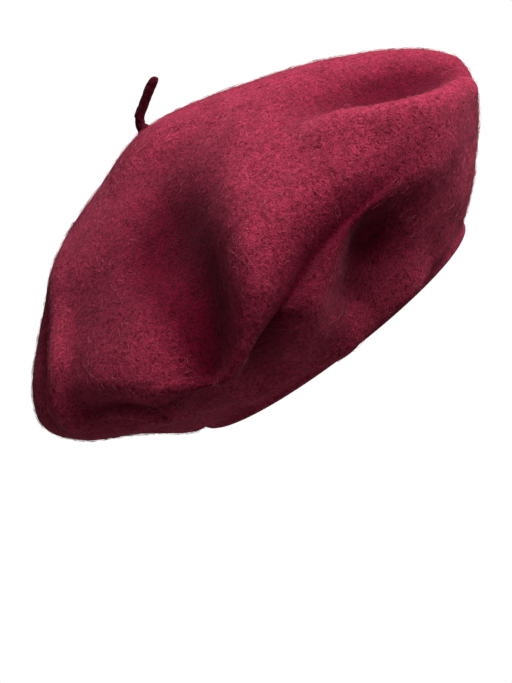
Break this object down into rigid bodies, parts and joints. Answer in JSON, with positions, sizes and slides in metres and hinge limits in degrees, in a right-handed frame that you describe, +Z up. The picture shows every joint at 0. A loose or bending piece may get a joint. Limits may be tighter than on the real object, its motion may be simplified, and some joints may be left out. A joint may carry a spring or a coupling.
{
  "type": "beret",
  "caption": "Soft felt beret worn tilted back, with a short crown stem, a rolled hem with elastic, and a ribbon sweatband inside.",
  "frame": {"origin": "centre of the head opening, in the plane where the felt turns in at the rim", "axes": "+Z up as worn, -Y towards the front of the hat, +X towards the wearer's left; the head opening faces down and forward"},
  "size_m": [0.278, 0.2289, 0.1968],
  "materials": {
    "felt": "fulled wool felt",
    "thread": "matt thread",
    "ribbon": "ribbed ribbon",
    "elastic": "braided elastic cord",
    "label": "woven label"
  },
  "bodies": {
    "beret": {"felt_body": "felt", "stem_stitches": "thread", "sweatband": "ribbon", "sweatband_joiner": "ribbon", "sweatband_stitching": "thread", "hem_elastic": "elastic", "hem_stitching": "thread", "label_stitches": "label"},
    "stem_lower": {"stem_root": "felt"},
    "stem": {"crown_stem": "felt"},
    "label": {"care_label": "label"},
    "tab": {"size_tab": "label"}
  },
  "joints": [
    {"name": "stem_tilt", "type": "hinge", "parent": "beret", "child": "stem_lower", "pos_m": [0.024, 0.0995, 0.10056], "axis": [1, 0, 0], "range_deg": [-95, 25], "stiffness_Nm_per_rad": 0.004},
    {"name": "stem_sway", "type": "hinge", "parent": "stem_lower", "child": "stem", "pos_m": [0.024, 0.0995, 0.10616], "axis": [0, 1, 0], "range_deg": [-60, 60], "stiffness_Nm_per_rad": 0.003},
    {"name": "label_flip", "type": "hinge", "parent": "beret", "child": "label", "pos_m": [0.0374, 0.06014, -0.02414], "axis": [-0.7727, 0.5002, -0.3908], "range_deg": [0, 150]},
    {"name": "tab_flip", "type": "hinge", "parent": "beret", "child": "tab", "pos_m": [-0.02982, 0.06568, -0.02847], "axis": [-0.863, -0.3981, 0.311], "range_deg": [0, 150]}
  ]
}
